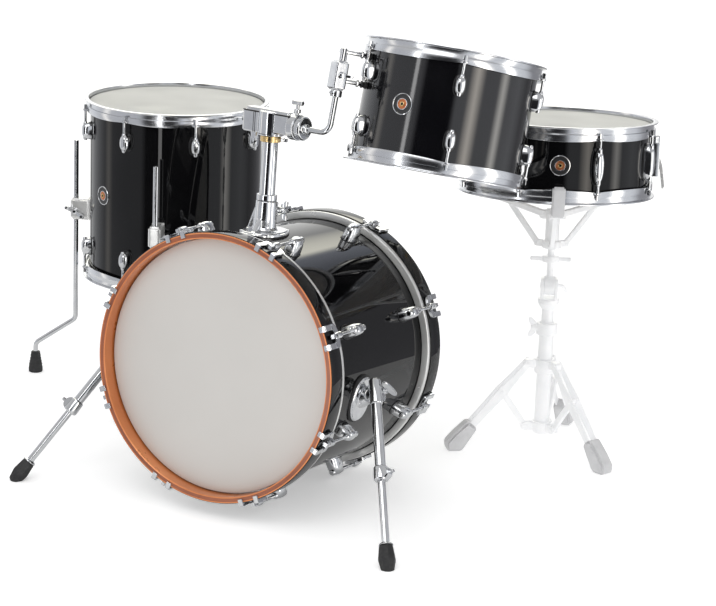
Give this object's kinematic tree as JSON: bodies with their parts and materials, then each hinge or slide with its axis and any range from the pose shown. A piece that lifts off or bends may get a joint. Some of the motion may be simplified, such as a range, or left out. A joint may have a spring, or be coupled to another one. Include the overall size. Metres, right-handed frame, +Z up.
{
  "type": "drum kit",
  "caption": "Shell drum kit: bass drum on spurs with a rack tom on a post and L-arm, floor tom on bent legs, snare drum in a basket stand.",
  "frame": {"origin": "middle of the kit's footprint, on the floor", "axes": "+Z up, +X from the floor tom to the snare drum, -Y from the drummer to the audience"},
  "size_m": [1.3192, 0.9952, 0.8664],
  "materials": {
    "black_lacquer": "black high-gloss lacquer",
    "chrome": "polished chrome",
    "satin_metal": "pale satin metal",
    "black_rubber": "black rubber",
    "front_film": "warm light grey film",
    "coated_film": "white coated film",
    "clear_film": "clear film, seen as grey",
    "steel_wire": "bare steel"
  },
  "bodies": {
    "kit": {"bass_shell": "black_lacquer", "bass_front_head": "front_film", "bass_rear_head": "coated_film", "bass_front_hoop": "black_lacquer", "bass_rear_hoop": "black_lacquer", "tom_base": "chrome", "spur_bracket_right": "chrome", "spur_bracket_left": "chrome", "floor_tom_shell": "black_lacquer", "floor_tom_top_head": "coated_film", "floor_tom_bottom_head": "clear_film", "floor_tom_top_hoop": "chrome", "floor_tom_bottom_hoop": "chrome", "stand_tube": "satin_metal"},
    "tom_base_bolt": {"tom_base_wing_bolt": "chrome"},
    "tom_post": {"tom_post": "chrome"},
    "tom_holder": {"tom_holder": "chrome"},
    "tom_t_bolt": {"tom_holder_t_bolt": "chrome"},
    "tom_arm": {"tom_arm": "chrome"},
    "rack_tom": {"tom_bracket": "chrome", "rack_tom_shell": "black_lacquer", "rack_tom_top_head": "coated_film", "rack_tom_bottom_head": "clear_film", "rack_tom_top_hoop": "chrome", "rack_tom_bottom_hoop": "chrome"},
    "spur_screw_right": {"spur_wing_screw_right": "chrome"},
    "spur_right": {"spur_tube_right": "chrome"},
    "spur_rod_right": {"spur_rod_right": "chrome", "spur_foot_right": "black_rubber"},
    "spur_screw_left": {"spur_wing_screw_left": "chrome"},
    "spur_left": {"spur_tube_left": "chrome"},
    "spur_rod_left": {"spur_rod_left": "chrome", "spur_foot_left": "black_rubber"},
    "floor_tom_leg_1": {"floor_tom_leg_1": "chrome", "floor_tom_foot_1": "black_rubber"},
    "floor_tom_leg_2": {"floor_tom_leg_2": "chrome", "floor_tom_foot_2": "black_rubber"},
    "floor_tom_leg_3": {"floor_tom_leg_3": "chrome", "floor_tom_foot_3": "black_rubber"},
    "stand_collar": {"stand_leg_collar": "satin_metal"},
    "stand_leg_1": {"stand_leg_1": "satin_metal"},
    "stand_leg_2": {"stand_leg_2": "satin_metal"},
    "stand_leg_3": {"stand_leg_3": "satin_metal"},
    "stand_brace_1": {"stand_brace_1": "satin_metal"},
    "stand_brace_2": {"stand_brace_2": "satin_metal"},
    "stand_brace_3": {"stand_brace_3": "satin_metal"},
    "stand_height": {"stand_height_tube": "satin_metal"},
    "basket": {"basket_post": "satin_metal", "snare_shell": "black_lacquer", "snare_top_head": "coated_film", "snare_bottom_head": "clear_film", "snare_top_hoop": "chrome", "snare_bottom_hoop": "chrome", "snare_strainer": "chrome", "snare_wires": "steel_wire"},
    "strainer_lever": {"strainer_lever": "chrome"},
    "basket_nut": {"basket_nut": "satin_metal"},
    "basket_arm_1": {"basket_arm_1": "satin_metal"},
    "basket_arm_2": {"basket_arm_2": "satin_metal"},
    "basket_arm_3": {"basket_arm_3": "satin_metal"}
  },
  "joints": [
    {"name": "tom_base_bolt_turn", "type": "hinge", "parent": "kit", "child": "tom_base_bolt", "pos_m": [0.14387, -0.2382, 0.5302], "axis": [1, 0, 0], "range_deg": [0, 360]},
    {"name": "tom_post_height", "type": "slide", "parent": "kit", "child": "tom_post", "axis": [0, 0.075, 0.9972], "range_m": [0, 0.1]},
    {"name": "tom_holder_swivel", "type": "hinge", "parent": "tom_post", "child": "tom_holder", "pos_m": [0.13657, -0.25121, 0.69062], "axis": [0, 0.075, 0.9972], "range_deg": [-40, 2]},
    {"name": "tom_t_bolt_turn", "type": "hinge", "parent": "tom_holder", "child": "tom_t_bolt", "pos_m": [0.19378, -0.26068, 0.69234], "axis": [0, 0.075, 0.9972], "range_deg": [0, 360]},
    {"name": "tom_arm_tilt", "type": "hinge", "parent": "tom_holder", "child": "tom_arm", "pos_m": [0.13657, -0.25121, 0.69062], "axis": [0.9863, -0.1646, 0.0124], "range_deg": [-3, 25]},
    {"name": "rack_tom_turn", "type": "hinge", "parent": "tom_arm", "child": "rack_tom", "pos_m": [0.2707, -0.2479, 0.79209], "axis": [0.0287, 0.2446, 0.9692], "range_deg": [-3, 15]},
    {"name": "spur_screw_turn_right", "type": "hinge", "parent": "kit", "child": "spur_screw_right", "pos_m": [0.39416, -0.29496, 0.24209], "axis": [0.8965, 0.0332, 0.4418], "range_deg": [0, 360]},
    {"name": "spur_fold_right", "type": "hinge", "parent": "kit", "child": "spur_right", "pos_m": [0.39416, -0.29496, 0.24209], "axis": [0.8965, 0.0332, 0.4418], "range_deg": [0, 117]},
    {"name": "spur_rod_length_right", "type": "slide", "parent": "spur_right", "child": "spur_rod_right", "axis": [-0.3927, 0.5216, 0.7575], "range_m": [0, 0.085]},
    {"name": "spur_screw_turn_left", "type": "hinge", "parent": "kit", "child": "spur_screw_left", "pos_m": [-0.12102, -0.29496, 0.24209], "axis": [-0.8965, 0.0332, 0.4418], "range_deg": [0, 360]},
    {"name": "spur_fold_left", "type": "hinge", "parent": "kit", "child": "spur_left", "pos_m": [-0.12102, -0.29496, 0.24209], "axis": [-0.8965, 0.0332, 0.4418], "range_deg": [-117, 0]},
    {"name": "spur_rod_length_left", "type": "slide", "parent": "spur_left", "child": "spur_rod_left", "axis": [0.3927, 0.5216, 0.7575], "range_m": [0, 0.085]},
    {"name": "floor_tom_leg_height_1", "type": "slide", "parent": "kit", "child": "floor_tom_leg_1", "axis": [0, 0, 1], "range_m": [0, 0.15]},
    {"name": "floor_tom_leg_height_2", "type": "slide", "parent": "kit", "child": "floor_tom_leg_2", "axis": [0, 0, 1], "range_m": [0, 0.15]},
    {"name": "floor_tom_leg_height_3", "type": "slide", "parent": "kit", "child": "floor_tom_leg_3", "axis": [0, 0, 1], "range_m": [0, 0.15]},
    {"name": "stand_collar_slide", "type": "slide", "parent": "kit", "child": "stand_collar", "axis": [0, 0, 1], "range_m": [0, 0.03]},
    {"name": "stand_leg_fold_1", "type": "hinge", "parent": "stand_collar", "child": "stand_leg_1", "pos_m": [0.5021, 0.24577, 0.178], "axis": [0.3746, 0.9272, 0], "range_deg": [0, 28]},
    {"name": "stand_leg_fold_2", "type": "hinge", "parent": "stand_collar", "child": "stand_leg_2", "pos_m": [0.46584, 0.29217, 0.178], "axis": [-0.9903, -0.1392, 0], "range_deg": [0, 28]},
    {"name": "stand_leg_fold_3", "type": "hinge", "parent": "stand_collar", "child": "stand_leg_3", "pos_m": [0.44378, 0.23757, 0.178], "axis": [0.6157, -0.788, 0], "range_deg": [0, 28]},
    {"name": "stand_brace_fold_1", "type": "hinge", "parent": "kit", "child": "stand_brace_1", "pos_m": [0.5021, 0.24577, 0.048], "axis": [0.3746, 0.9272, 0], "range_deg": [-24, 0]},
    {"name": "stand_brace_fold_2", "type": "hinge", "parent": "kit", "child": "stand_brace_2", "pos_m": [0.46584, 0.29217, 0.048], "axis": [-0.9903, -0.1392, 0], "range_deg": [-24, 0]},
    {"name": "stand_brace_fold_3", "type": "hinge", "parent": "kit", "child": "stand_brace_3", "pos_m": [0.44378, 0.23757, 0.048], "axis": [0.6157, -0.788, 0], "range_deg": [-24, 0]},
    {"name": "stand_height_slide", "type": "slide", "parent": "kit", "child": "stand_height", "axis": [0, 0, 1], "range_m": [0, 0.08]},
    {"name": "basket_tilt", "type": "hinge", "parent": "stand_height", "child": "basket", "pos_m": [0.47057, 0.2585, 0.335], "axis": [-0.8949, -0.4462, 0], "range_deg": [-2, 10]},
    {"name": "strainer_lever_throw", "type": "hinge", "parent": "basket", "child": "strainer_lever", "pos_m": [0.63577, 0.36263, 0.58805], "axis": [-0.4449, 0.8923, -0.0767], "range_deg": [-90, 0]},
    {"name": "basket_nut_turn", "type": "hinge", "parent": "basket", "child": "basket_nut", "pos_m": [0.46879, 0.26208, 0.38685], "axis": [-0.0342, 0.0687, 0.9971], "range_deg": [0, 720]},
    {"name": "basket_arm_open_1", "type": "hinge", "parent": "basket", "child": "basket_arm_1", "pos_m": [0.47475, 0.25013, 0.47413], "axis": [0.8949, 0.4462, 0], "range_deg": [0, 6]},
    {"name": "basket_arm_open_2", "type": "hinge", "parent": "basket", "child": "basket_arm_2", "pos_m": [0.4769, 0.28463, 0.47183], "axis": [-0.8327, 0.5497, -0.0664], "range_deg": [0, 6]},
    {"name": "basket_arm_open_3", "type": "hinge", "parent": "basket", "child": "basket_arm_3", "pos_m": [0.4459, 0.26917, 0.47183], "axis": [-0.0622, -0.9959, 0.0664], "range_deg": [0, 6]}
  ],
  "couplings": [
    {"joint": "stand_leg_fold_1", "follows": "stand_collar_slide", "rad_per_m": 15.6},
    {"joint": "stand_leg_fold_2", "follows": "stand_collar_slide", "rad_per_m": 15.6},
    {"joint": "stand_leg_fold_3", "follows": "stand_collar_slide", "rad_per_m": 15.6},
    {"joint": "stand_brace_fold_1", "follows": "stand_collar_slide", "rad_per_m": -13.2},
    {"joint": "stand_brace_fold_2", "follows": "stand_collar_slide", "rad_per_m": -13.2},
    {"joint": "stand_brace_fold_3", "follows": "stand_collar_slide", "rad_per_m": -13.2},
    {"joint": "basket_arm_open_1", "follows": "basket_nut_turn", "ratio": 0.008333},
    {"joint": "basket_arm_open_2", "follows": "basket_nut_turn", "ratio": 0.008333},
    {"joint": "basket_arm_open_3", "follows": "basket_nut_turn", "ratio": 0.008333}
  ]
}
